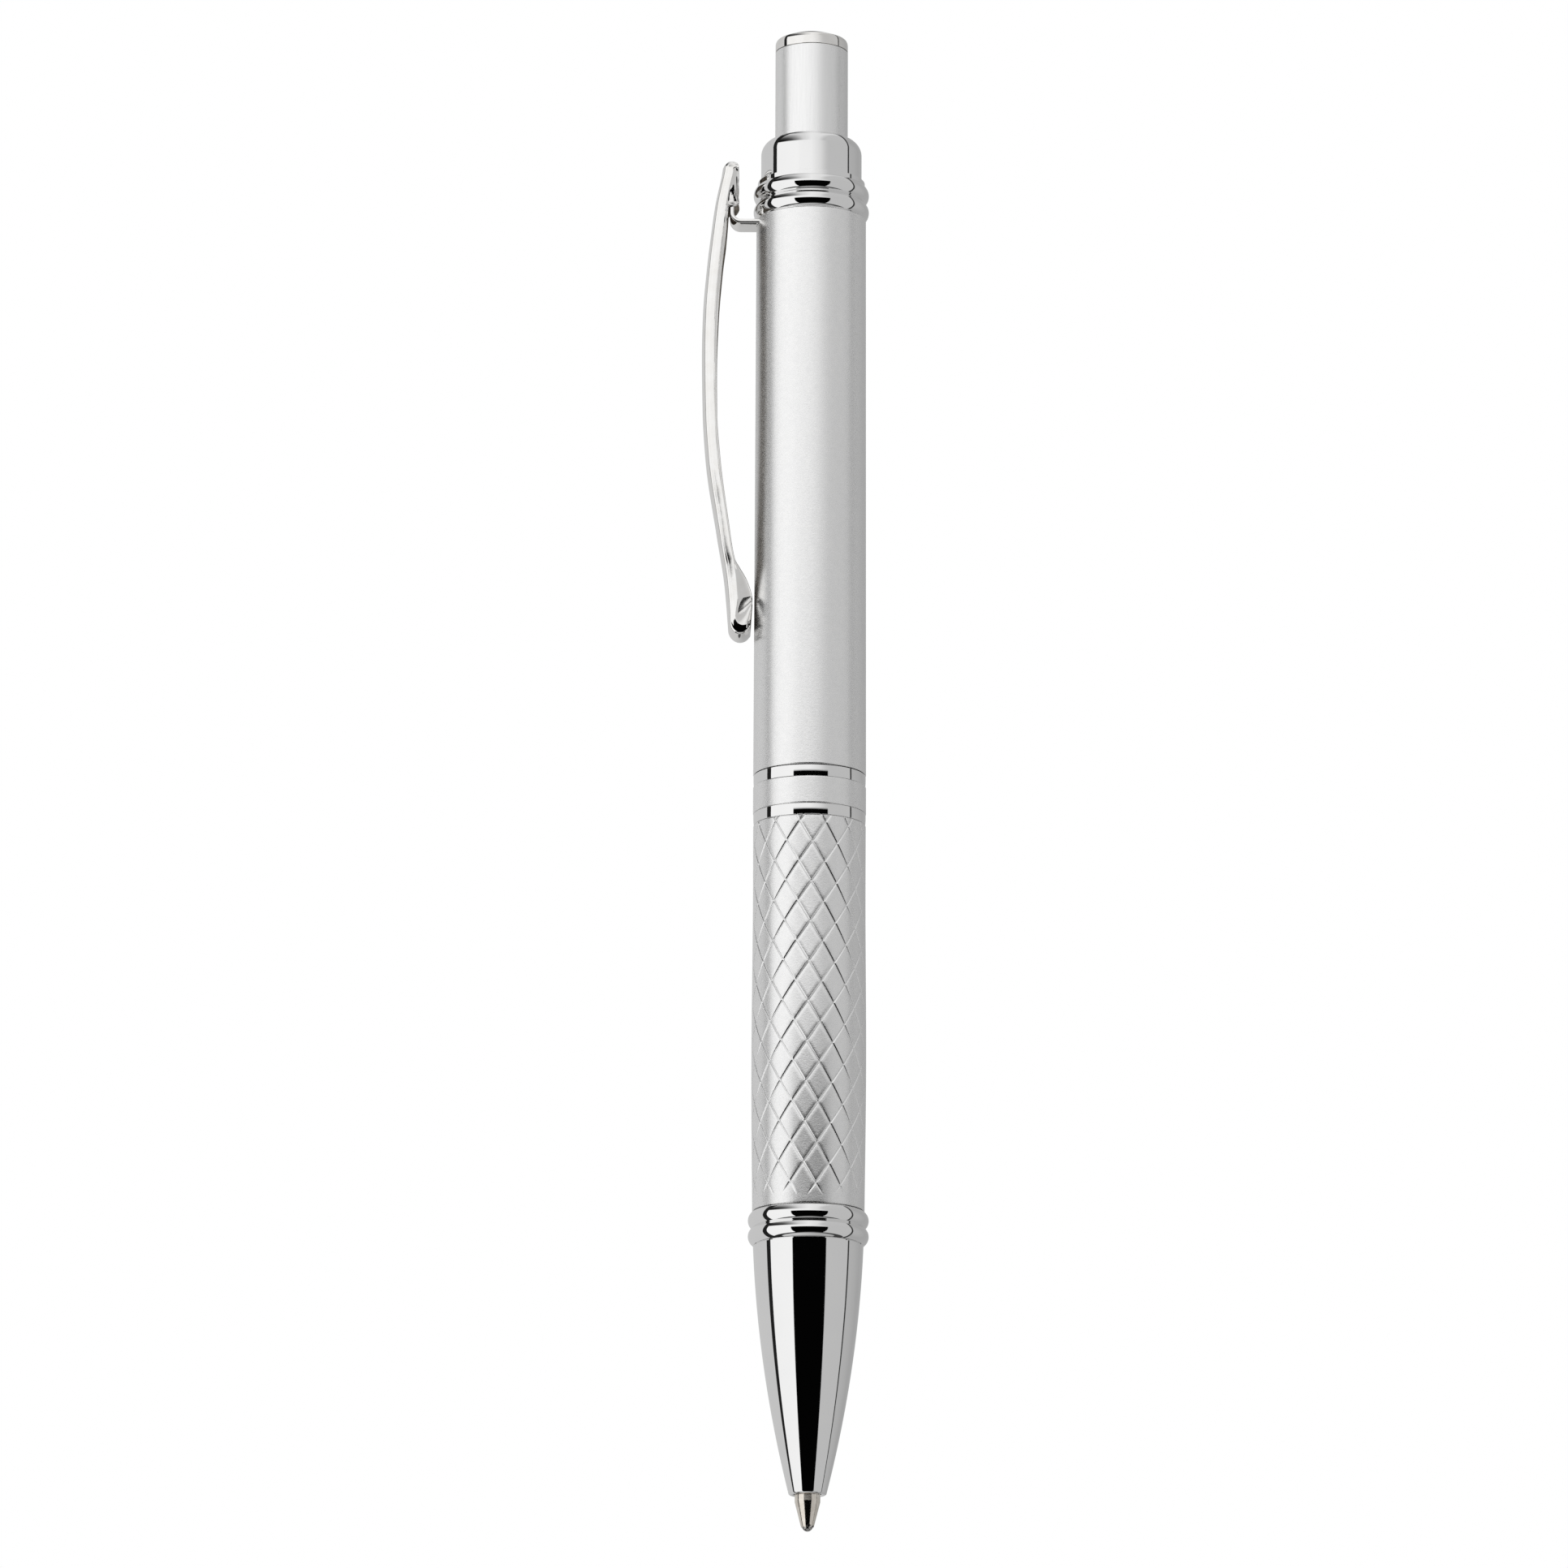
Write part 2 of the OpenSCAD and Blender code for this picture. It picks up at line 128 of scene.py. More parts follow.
def make_world():
    """A soft studio on all sides. In front it is bright on the left and grey on the right, with a dark
    card low down and a ceiling that is dark on the left. Behind is a pale grey backdrop, past a dark gap."""
    world = bpy.data.worlds.new("studio")
    bpy.context.scene.world = world
    world.use_nodes = True
    tree = world.node_tree
    tree.nodes.clear()

    def math_node(operation, a, b=None):
        made = tree.nodes.new("ShaderNodeMath")
        made.operation = operation
        for i, value in enumerate((a, b)):
            if value is None:
                continue
            if isinstance(value, (int, float)):
                made.inputs[i].default_value = value
            else:
                tree.links.new(value, made.inputs[i])
        return made.outputs[0]

    def ramp(source, stops, low, high):
        """Greys along the source; stops are (value, display grey), in rising order."""
        scaled = tree.nodes.new("ShaderNodeMapRange")
        scaled.inputs[1].default_value = low
        scaled.inputs[2].default_value = high
        tree.links.new(source, scaled.inputs[0])
        made = tree.nodes.new("ShaderNodeValToRGB")
        elements = made.color_ramp.elements
        elements.remove(elements[1])
        for i, (at, grey) in enumerate(stops):
            position = (at - low) / (high - low)
            element = elements.new(position) if i else elements[0]
            element.position = position
            element.color = (*(srgb(grey),) * 3, 1)
        tree.links.new(scaled.outputs[0], made.inputs[0])
        return made.outputs[0]

    def step(value, low, high):
        """0 below low and 1 above high; the other way round if low is the larger."""
        made = tree.nodes.new("ShaderNodeMapRange")
        made.interpolation_type = "SMOOTHSTEP"
        made.inputs[1].default_value = low
        made.inputs[2].default_value = high
        tree.links.new(value, made.inputs[0])
        return made.outputs[0]

    def mix(share, a, b):
        made = tree.nodes.new("ShaderNodeMix")
        made.data_type = "RGBA"
        tree.links.new(share, made.inputs[0])
        for i, value in ((6, a), (7, b)):
            if isinstance(value, (int, float)):
                made.inputs[i].default_value = (*(srgb(value),) * 3, 1)
            else:
                tree.links.new(value, made.inputs[i])
        return made.outputs[2]

    direction = tree.nodes.new("ShaderNodeTexCoord").outputs["Generated"]
    parts = tree.nodes.new("ShaderNodeSeparateXYZ")
    tree.links.new(direction, parts.inputs[0])
    x, y, z = parts.outputs
    towards = math_node("MULTIPLY", y, -1)
    azimuth = math_node("MULTIPLY", math_node("ARCTAN2", x, towards), 180 / math.pi)
    elevation = math_node("MULTIPLY", math_node("ARCSINE", z), 180 / math.pi)
    inward = math_node("SUBTRACT", 1, math_node("ABSOLUTE", x))
    reach = math_node("MULTIPLY", math_node("POWER", inward, ROOM_TAPER), ROOM_REACH)
    behind = math_node("SUBTRACT", y, reach)
    is_left = step(x, 0.1, -0.1)

    front = ramp(azimuth, FRONT_GREYS, -180, 180)
    back = ramp(x, BACK_GREYS, -1, 1)
    card = math_node("MULTIPLY", step(azimuth, *CARD_LEFT), step(azimuth, *CARD_RIGHT))
    card = math_node("MULTIPLY", card, step(elevation, *CARD_TOP))
    room = mix(step(elevation, *CEILING_EDGE), front, ramp(x, CEILING_GREYS, -1, 1))
    room = mix(card, room, CARD_GREY)
    gap_near = math_node("ADD", behind, math_node("MULTIPLY", is_left, GAP_EARLIER))
    room = mix(step(gap_near, *GAP_START), room, ramp(x, GAP_GREYS, -1, 1))
    gap_far = math_node("SUBTRACT", behind, math_node("MULTIPLY", is_left, GAP_LATER))
    room = mix(step(gap_far, *GAP_END), room, back)
    room = mix(step(z, *LOW_GAP_START), room, ramp(x, GAP_GREYS, -1, 1))
    room = mix(step(z, *LOW_GAP_END), room, back)

    rays = tree.nodes.new("ShaderNodeLightPath")
    seen = mix(rays.outputs["Is Camera Ray"], room, CAMERA_GREY)
    background = tree.nodes.new("ShaderNodeBackground")
    output = tree.nodes.new("ShaderNodeOutputWorld")
    tree.links.new(seen, background.inputs[0])
    tree.links.new(background.outputs[0], output.inputs[0])


def make_floor():
    """A plain pale floor, well below the pen, which hangs in front of a white background."""
    half = FLOOR_HALF
    corners = [(-half, -half, FLOOR_Z), (half, -half, FLOOR_Z), (half, half, FLOOR_Z), (-half, half, FLOOR_Z)]
    mesh = bpy.data.meshes.new("floor")
    mesh.from_pydata(corners, [], [(0, 1, 2, 3)])
    floor = bpy.data.objects.new("floor", mesh)
    bpy.context.collection.objects.link(floor)
    paper = bpy.data.materials.new("floor_paper")
    paper.use_nodes = True
    shader = paper.node_tree.nodes["Principled BSDF"]
    shader.inputs["Base Color"].default_value = (0.94, 0.94, 0.94, 1)
    shader.inputs["Roughness"].default_value = 0.9
    mesh.materials.append(paper)
    floor.visible_glossy = False
    floor.visible_diffuse = False


# ---------------------------------------------------------------- materials


class Finish:
    """One procedural material: a Principled shader with noise added in object space."""

    def __init__(self, name, colour, metallic, roughness):
        self.material = bpy.data.materials.new(name)
        self.material.use_nodes = True
        self.tree = self.material.node_tree
        self.shader = self.tree.nodes["Principled BSDF"]
        self.shader.inputs["Base Color"].default_value = (*colour, 1)
        self.shader.inputs["Metallic"].default_value = metallic
        self.shader.inputs["Roughness"].default_value = roughness
        self.place = self.tree.nodes.new("ShaderNodeTexCoord").outputs["Object"]

    def noise(self, size, stretch=(1, 1, 1), detail=3.0):
        """Noise with a feature size in millimetres, drawn out along each axis by stretch."""
        mapping = self.tree.nodes.new("ShaderNodeMapping")
        mapping.inputs["Scale"].default_value = [1 / (MM * size * s) for s in stretch]
        self.tree.links.new(self.place, mapping.inputs[0])
        made = self.tree.nodes.new("ShaderNodeTexNoise")
        made.inputs["Scale"].default_value = 1.0
        made.inputs["Detail"].default_value = detail
        self.tree.links.new(mapping.outputs[0], made.inputs["Vector"])
        return made.outputs[0]

    def spread(self, source, low, high, socket):
        """The source, from 0 to 1, mapped to low..high on a shader socket."""
        made = self.tree.nodes.new("ShaderNodeMapRange")
        made.inputs[1].default_value = 0.25
        made.inputs[2].default_value = 0.75
        made.inputs[3].default_value = low
        made.inputs[4].default_value = high
        self.tree.links.new(source, made.inputs[0])
        self.tree.links.new(made.outputs[0], self.shader.inputs[socket])

    def tint(self, source, dark, light):
        """Base colour between dark and light, by the source."""
        made = self.tree.nodes.new("ShaderNodeValToRGB")
        made.color_ramp.elements[0].position = 0.3
        made.color_ramp.elements[1].position = 0.7
        made.color_ramp.elements[0].color = (*dark, 1)
        made.color_ramp.elements[1].color = (*light, 1)
        self.tree.links.new(source, made.inputs[0])
        self.tree.links.new(made.outputs[0], self.shader.inputs["Base Color"])
        return made.outputs[0]

    def bump(self, source, height, strength=1.0):
        """Raises the surface by up to height millimetres; several calls add up."""
        made = self.tree.nodes.new("ShaderNodeBump")
        made.inputs["Distance"].default_value = height * MM
        made.inputs["Strength"].default_value = strength
        self.tree.links.new(source, made.inputs["Height"])
        linked = self.shader.inputs["Normal"].links
        if linked:
            self.tree.links.new(linked[0].from_socket, made.inputs["Normal"])
        self.tree.links.new(made.outputs[0], self.shader.inputs["Normal"])


def satin_silver():
    finish = Finish("satin_silver", (0.9, 0.9, 0.9), 1.0, 0.22)
    finish.shader.inputs["Anisotropic"].default_value = 0.8
    grain = finish.noise(0.12, (1.6, 1.6, 1), detail=2.0)
    finish.spread(grain, 0.23, 0.29, "Roughness")
    finish.bump(grain, 0.0022)
    finish.tint(finish.noise(0.5, detail=4.0), (0.955, 0.955, 0.955), (0.995, 0.993, 0.99))
    return finish.material


def brushed_silver():
    finish = Finish("brushed_silver", (0.9, 0.9, 0.9), 1.0, 0.22)
    finish.shader.inputs["Anisotropic"].default_value = 0.9
    lines = finish.noise(0.1, (1, 1, 22), detail=2.0)
    finish.spread(lines, 0.22, 0.28, "Roughness")
    finish.bump(lines, 0.0015)
    finish.tint(finish.noise(0.12, (1, 1, 30)), (0.96, 0.96, 0.96), (0.99, 0.99, 0.987))
    return finish.material


def polished_chrome():
    finish = Finish("polished_chrome", (0.95, 0.95, 0.95), 1.0, 0.03)
    finish.spread(finish.noise(2.0), 0.02, 0.05, "Roughness")
    finish.tint(finish.noise(3.0), (0.885, 0.885, 0.885), (0.9, 0.898, 0.895))
    finish.bump(finish.noise(1.6, detail=1.0), 0.0012)
    return finish.material


def clip_chrome():
    finish = Finish("clip_chrome", (0.93, 0.93, 0.92), 1.0, 0.05)
    finish.spread(finish.noise(0.7), 0.035, 0.09, "Roughness")
    finish.tint(finish.noise(1.1), (0.9, 0.885, 0.86), (0.95, 0.945, 0.935))
    finish.bump(finish.noise(1.1, (1, 1, 2.2), detail=2.0), 0.01)
    finish.bump(finish.noise(0.12), 0.0006)
    return finish.material


def clip_inside_painted_shade():
    """Painted shade for the inside of the clip's channel: the clip's metal darkened to a dull brown."""
    finish = Finish("clip_inside_painted_shade", (0.2, 0.17, 0.14), 1.0, 0.4)
    finish.spread(finish.noise(0.4), 0.32, 0.5, "Roughness")
    finish.tint(finish.noise(0.9, detail=4.0), (0.1, 0.08, 0.06), (0.3, 0.27, 0.23))
    finish.bump(finish.noise(0.15), 0.004)
    return finish.material


def cap_chrome():
    finish = Finish("cap_chrome", (0.92, 0.91, 0.89), 1.0, 0.06)
    finish.spread(finish.noise(0.5), 0.04, 0.09, "Roughness")
    finish.tint(finish.noise(0.9), (0.9, 0.885, 0.86), (0.94, 0.93, 0.915))
    finish.bump(finish.noise(0.5), 0.001)
    return finish.material


def nickel_silver():
    """Turned nickel silver; a film of black ink covers it near the ball and runs up it in patches."""
    finish = Finish("nickel_silver", (0.72, 0.66, 0.57), 1.0, 0.12)
    tree = finish.tree
    rings = finish.noise(0.05, (8, 8, 1), detail=2.0)
    finish.spread(rings, 0.1, 0.2, "Roughness")
    finish.bump(rings, 0.0012)
    metal = finish.tint(finish.noise(0.5), (0.78, 0.72, 0.64), (0.92, 0.87, 0.8))
    height = tree.nodes.new("ShaderNodeSeparateXYZ")
    tree.links.new(finish.place, height.inputs[0])
    reach = tree.nodes.new("ShaderNodeMapRange")
    reach.inputs[1].default_value = 1.0 * MM
    reach.inputs[2].default_value = 0.5 * MM
    tree.links.new(height.outputs[2], reach.inputs[0])
    patch = tree.nodes.new("ShaderNodeMath")
    patch.operation = "ADD"
    tree.links.new(reach.outputs[0], patch.inputs[0])
    blot = tree.nodes.new("ShaderNodeMapRange")
    blot.inputs[1].default_value = 0.4
    blot.inputs[2].default_value = 0.75
    blot.inputs[3].default_value = -1.0
    blot.inputs[4].default_value = 0.25
    tree.links.new(finish.noise(0.55), blot.inputs[0])
    tree.links.new(blot.outputs[0], patch.inputs[1])
    wet = tree.nodes.new("ShaderNodeMapRange")
    wet.inputs[1].default_value = 0.45
    wet.inputs[2].default_value = 0.6
    tree.links.new(patch.outputs[0], wet.inputs[0])
    mixed = tree.nodes.new("ShaderNodeMix")
    mixed.data_type = "RGBA"
    mixed.inputs[7].default_value = (0.012, 0.011, 0.012, 1)
    tree.links.new(wet.outputs[0], mixed.inputs[0])
    tree.links.new(metal, mixed.inputs[6])
    tree.links.new(mixed.outputs[2], finish.shader.inputs["Base Color"])
    dry = tree.nodes.new("ShaderNodeMath")
    dry.operation = "SUBTRACT"
    dry.inputs[0].default_value = 1.0
    tree.links.new(wet.outputs[0], dry.inputs[1])
    tree.links.new(dry.outputs[0], finish.shader.inputs["Metallic"])
    return finish.material


def carbide():
    finish = Finish("carbide", (0.3, 0.3, 0.31), 1.0, 0.12)
    finish.tint(finish.noise(0.3), (0.1, 0.1, 0.1), (0.62, 0.6, 0.58))
    finish.bump(finish.noise(0.02), 0.0004)
    return finish.material


def turned_brass():
    finish = Finish("turned_brass", (0.75, 0.56, 0.26), 1.0, 0.25)
    rings = finish.noise(0.08, (8, 8, 1))
    finish.spread(rings, 0.2, 0.34, "Roughness")
    finish.tint(finish.noise(0.8), (0.7, 0.5, 0.22), (0.8, 0.62, 0.32))
    finish.bump(rings, 0.003)
    return finish.material


def drawn_steel():
    finish = Finish("drawn_steel", (0.62, 0.62, 0.63), 1.0, 0.28)
    lines = finish.noise(0.08, (1, 1, 14))
    finish.spread(lines, 0.22, 0.36, "Roughness")
    finish.tint(finish.noise(1.0), (0.58, 0.58, 0.59), (0.68, 0.68, 0.69))
    finish.bump(lines, 0.003)
    return finish.material


def ink_paste():
    finish = Finish("ink_paste", (0.01, 0.01, 0.012), 0.0, 0.15)
    finish.tint(finish.noise(0.8), (0.008, 0.008, 0.01), (0.02, 0.019, 0.024))
    finish.bump(finish.noise(1.5), 0.01)
    return finish.material


def white_plastic():
    finish = Finish("white_plastic", (0.84, 0.83, 0.8), 0.0, 0.42)
    finish.tint(finish.noise(1.2), (0.8, 0.79, 0.76), (0.87, 0.865, 0.84))
    finish.spread(finish.noise(0.15), 0.36, 0.5, "Roughness")
    finish.bump(finish.noise(0.2), 0.004)
    return finish.material


# ---------------------------------------------------------------- mesh tools

SHARP_DEG = 35


def mesh_object(name, points, faces, sharp_deg=SHARP_DEG):
    """A smooth-shaded mesh from points in millimetres; edges bent by more than sharp_deg stay crisp."""
    mesh = bpy.data.meshes.new(name)
    mesh.from_pydata([Vector(p) * MM for p in points], [], faces)
    mesh.validate()
    mesh.update()
    mesh.polygons.foreach_set("use_smooth", [True] * len(mesh.polygons))
    mesh.set_sharp_from_angle(angle=math.radians(sharp_deg))
    made = bpy.data.objects.new(name, mesh)
    bpy.context.collection.objects.link(made)
    return made


def finished(made, material, body, slot, *nodes):
    """Gives a piece its material and body, and hides the CAD nodes that it stands for."""
    made.data.materials.clear()
    made.data.materials.append(material)
    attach(made, body)
    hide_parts(*nodes)
    return made


def rounded(corners, steps=6):
    """A closed outline whose corners (r, z, fillet) become arcs, with a holding point beyond each end."""
    outline = []
    count = len(corners)
    for i, (r, z, fillet) in enumerate(corners):
        here = Vector((r, z))
        if not fillet:
            outline.append(here)
            continue
        back = Vector(corners[i - 1][:2]) - here
        ahead = Vector(corners[(i + 1) % count][:2]) - here
        half = back.angle(ahead) / 2
        reach = fillet / math.tan(half)
        back.normalize()
        ahead.normalize()
        centre = here + (back + ahead).normalized() * fillet / math.sin(half)
        start = here + back * reach - centre
        end = here + ahead * reach - centre
        hold = min(fillet, 0.05)
        outline.append(centre + start + back * hold)
        for k in range(steps + 1):
            outline.append(centre + start.slerp(end, k / steps).normalized() * fillet)
        outline.append(centre + end + ahead * hold)
    return [tuple(p) for p in outline]


def lathe(name, outline, segments=SEGMENTS):
    """Turns a closed outline of (radius, height) about the axis. Points on the axis become one vertex."""
    points, rings = [], []
    for r, z in outline:
        if r < 1e-6:
            rings.append([len(points)] * segments)
            points.append((0, 0, z))
            continue
        rings.append(range(len(points), len(points) + segments))
        for k in range(segments):
            turn = 2 * math.pi * k / segments
            points.append((r * math.cos(turn), r * math.sin(turn), z))
    faces = []
    for i, ring in enumerate(rings):
        other = rings[(i + 1) % len(rings)]
        if ring[0] == ring[1] and other[0] == other[1]:
            continue
        for k in range(segments):
            n = (k + 1) % segments
            corners = [ring[k], ring[n], other[n], other[k]]
            faces.append([v for j, v in enumerate(corners) if v != corners[j - 1]])
    return mesh_object(name, points, faces)


# ---------------------------------------------------------------- front section

MOUTH_R = 1.28
CONE_END_R = 1.72
CONE_TOP_R = 4.95
CONE_SAGITTA = 0.58
SPIGOT_R = 4.28
BEAD_R = 0.9
# the fine open line round each joint between two rings
SEAM = 0.045
SEAM_DEPTH = 0.25
RING_SEAT_R = 4.93
NOSE_BEAD_Z = (26.57, 28.01)
TOP_BEAD_Z = (122.33, 123.95)
NOSE_RING_BORE_R = 4.3
CLIP_RING_BORE_R = 4.33
MOUTH_LIP = 0.22
SPIGOT_LENGTH = 9
# the stepped hollow of the nose cone, as (radius, height) from the spigot down to the mouth
CONE_HOLLOW = [(3.1, 13.6), (2.45, 13.2), (2.45, 9.5), (1.8, 9.45), (1.8, 7.2), (MOUTH_R, 6.6)]


def nose_cone(material):
    """A shallow ogive, turned in one piece, with a rounded mouth round the writing tip."""
    low, high = bottom("nose_cone"), bottom("nose_ring")
    lip = MOUTH_LIP
    side = []
    steps = 40
    for i in range(steps + 1):
        t = i / steps
        r = CONE_END_R + (CONE_TOP_R - CONE_END_R) * t + 4 * CONE_SAGITTA * t * (1 - t)
        side.append((r, low + lip + (high - SEAM - low - lip) * t))
    mouth = [(CONE_END_R - lip * (1 - math.cos(a)), low + lip - lip * math.sin(a))
             for a in (math.pi / 2 * k / 6 for k in range(6, 0, -1))]
    groove_r = CONE_TOP_R - SEAM_DEPTH
    spigot_top = high + SPIGOT_LENGTH
    spigot = [(groove_r, high - SEAM), (groove_r, high), (SPIGOT_R, high), (SPIGOT_R, spigot_top),
              (CONE_HOLLOW[0][0], spigot_top)]
    bore = [(MOUTH_R, low + 0.12), (MOUTH_R + 0.08, low + 0.02)]
    made = lathe("nose_cone_shell", mouth + side + spigot + CONE_HOLLOW + bore)
    finished(made, material, "front", "polished_chrome", "nose_cone")


def beaded_outline(low, high, seat, r_out, bead_z, r_in):
    """Two half-round beads with a waist between them, on a plain ring with a seam at each end."""
    centre = r_out - BEAD_R
    groove_r = seat - SEAM_DEPTH
    half_gap = (bead_z[1] - bead_z[0]) / 2
    waist = math.asin(min(1, half_gap / BEAD_R))
    edge = math.acos((seat - centre) / BEAD_R)
    outline = [(r_in, low), (groove_r, low), (groove_r, low + SEAM), (seat, low + SEAM)]
    steps = 20
    for k in range(steps + 1):
        a = -edge + (edge + waist) * k / steps
        outline.append((centre + BEAD_R * math.cos(a), bead_z[0] + BEAD_R * math.sin(a)))
    for k in range(1, steps + 1):
        a = -waist + (edge + waist) * k / steps
        outline.append((centre + BEAD_R * math.cos(a), bead_z[1] + BEAD_R * math.sin(a)))
    return outline + [(seat, high - SEAM), (groove_r, high - SEAM), (groove_r, high), (r_in, high)]


def nose_ring(material):
    low, high = bottom("nose_ring"), top("nose_ring")
    outline = beaded_outline(low, high, RING_SEAT_R, radius("nose_ring"), NOSE_BEAD_Z, NOSE_RING_BORE_R)
    made = lathe("nose_ring_beads", outline)
    finished(made, material, "front", "polished_chrome", "nose_ring")


GRIP_FULL_Z = 42.0
GRIP_R_LOW = 5.03
GRIP_R_HIGH = 5.1
GRIP_SWELL = 0.11
GRIP_SWELL_REACH = 17.0
GRIP_BORE_R = 4.3
RISING_CUTS = 13
RISING_PITCH = 3.534
RISING_PHASE = -0.400
FALLING_CUTS = 14
FALLING_PITCH = 3.817
FALLING_PHASE = 0.306
CUT_HALF = 0.095
CUT_DEPTH = 0.06
# a cut's cross-section, as (half widths from its middle, share of the depth), and the steps between cuts
CUT_SHAPE = [(-1.35, 0), (-1.0, 0.06), (-0.55, 0.55), (-0.18, 0.95), (0, 1), (0.18, 0.95), (0.55, 0.55),
             (1.0, 0.06), (1.35, 0)]
PLAIN_STEPS = [(0.2, 0), (0.35, 0), (0.5, 0), (0.65, 0), (0.8, 0)]


def grip_r(z, low, high):
    """A gentle taper with one smooth swell."""
    off = min(1, abs(z - GRIP_FULL_Z) / GRIP_SWELL_REACH)
    taper = GRIP_R_LOW + (GRIP_R_HIGH - GRIP_R_LOW) * (z - low) / (high - low)
    return taper + GRIP_SWELL * math.cos(math.pi / 2 * off) ** 2


def cut_steps(pitch, starts):
    """Where the mesh lines run across one repeat of a cut family, as (share of the repeat, depth)."""
    lean = math.atan2(2 * math.pi * GRIP_R_HIGH / starts, pitch)
    across = pitch * math.sin(lean)
    half = CUT_HALF / across
    return [(s * half, d) for s, d in CUT_SHAPE] + PLAIN_STEPS


def grip_tube(material):
    """A tube with two crossing families of fine helical V-cuts. The mesh lines follow the cuts."""
    low, high = bottom("grip_tube"), top("grip_tube")
    fade_low, fade_high = low + 1.0, low + 2.1
    a_steps = cut_steps(RISING_PITCH, RISING_CUTS)
    b_steps = cut_steps(FALLING_PITCH, FALLING_CUTS)
    a_count, b_count = len(a_steps), len(b_steps)
    start_z, end_z = low + 0.6, high - 0.1
    rise = RISING_CUTS / FALLING_PITCH + FALLING_CUTS / RISING_PITCH
    points, index = [], {}

    def vertex(i, j):
        """The point where line i of the rising family meets line j of the falling one, made only once."""
        turns = math.floor(i / (a_count * RISING_CUTS))
        key = (i - turns * a_count * RISING_CUTS, j - turns * b_count * FALLING_CUTS)
        if key in index:
            return index[key]
        i, j = key
        a_at, a_depth = a_steps[i % a_count]
        b_at, b_depth = b_steps[j % b_count]
        a = i // a_count + a_at + RISING_PHASE
        b = j // b_count + b_at + FALLING_PHASE
        # a = starts_a * turn - z / pitch_a and b = starts_b * turn + z / pitch_b, solved for turn and z
        z = (b * RISING_CUTS - a * FALLING_CUTS) / rise
        turn = (a + z / RISING_PITCH) / RISING_CUTS
        fade = min(1, max(0, (z - fade_low) / (fade_high - fade_low)))
        r = grip_r(z, low, high) - CUT_DEPTH * max(a_depth, b_depth) * fade ** 0.7
        angle = 2 * math.pi * turn
        # the turn is counted from the side that faces the camera, and grows towards +X
        index[key] = len(points)
        points.append((r * math.sin(angle), -r * math.cos(angle), z))
        return index[key]

    faces = []
    for i in range(a_count * RISING_CUTS):
        a_mid = i / a_count + RISING_PHASE
        first = (start_z - 2) * rise + a_mid * FALLING_CUTS
        last = (end_z + 2) * rise + a_mid * FALLING_CUTS
        j_first = math.floor((first / RISING_CUTS - FALLING_PHASE) * b_count) - b_count
        j_last = math.ceil((last / RISING_CUTS - FALLING_PHASE) * b_count) + b_count
        for j in range(j_first, j_last):
            faces.append((vertex(i, j), vertex(i + 1, j), vertex(i + 1, j + 1), vertex(i, j + 1)))
    made = mesh_object("grip_shell", points, faces)
    trim_grip(made, low, high, start_z, end_z)
    finished(made, material, "front", "satin_silver", "grip_tube")


def trim_grip(made, low, high, start_z, end_z):
    """Cuts the engraved sheet level at both ends and closes it with chamfered rims and a bore."""
    work = bmesh.new()
    work.from_mesh(made.data)
    for z, side in ((start_z, -1), (end_z, 1)):
        geometry = work.verts[:] + work.edges[:] + work.faces[:]
        level = (0, 0, z * MM)
        bmesh.ops.bisect_plane(work, geom=geometry, plane_co=level, plane_no=(0, 0, side), clear_outer=True)
    rims = [e for e in work.edges if e.is_boundary]
    middle = (low + high) / 2 * MM
    lower = [e for e in rims if e.verts[0].co.z < middle]
    upper = [e for e in rims if e.verts[0].co.z >= middle]

    def carry(edges, r, z):
        """Extrudes a rim to a circle of radius r at height z, and gives back its new edges."""
        out = bmesh.ops.extrude_edge_only(work, edges=edges)["geom"]
        for v in (g for g in out if isinstance(g, bmesh.types.BMVert)):
            flat = Vector((v.co.x, v.co.y, 0))
            v.co = flat.normalized() * (r * MM) + Vector((0, 0, z * MM))
        return [g for g in out if isinstance(g, bmesh.types.BMEdge)]

    edge_r = grip_r(low, low, high)
    lower = carry(lower, edge_r + 0.004, low + 0.25)
    lower = carry(lower, edge_r, low + 0.06)
    lower = carry(lower, edge_r - 0.05, low)
    lower = carry(lower, GRIP_BORE_R, low)
    edge_r = grip_r(high, low, high)
    upper = carry(upper, edge_r - 0.1, high)
    upper = carry(upper, GRIP_BORE_R, high)
    bmesh.ops.bridge_loops(work, edges=lower + upper)
    bmesh.ops.recalc_face_normals(work, faces=work.faces[:])
    bmesh.ops.dissolve_degenerate(work, dist=1e-7, edges=work.edges[:])
    work.to_mesh(made.data)
    work.free()
    made.data.polygons.foreach_set("use_smooth", [True] * len(made.data.polygons))
    made.data.set_sharp_from_angle(angle=math.radians(SHARP_DEG))


# ---------------------------------------------------------------- centre joint

COUPLER_INSET = 0.03
COUPLER_CURVE = 0.05
BAND_SEAT_R = 4.6
COUPLER_BORE_R = 3.3
SLEEVE_R = 3.84
# the share of a ring's height that its side takes up, above the chamfer at its lower edge
SIDE_SHARE = 0.97


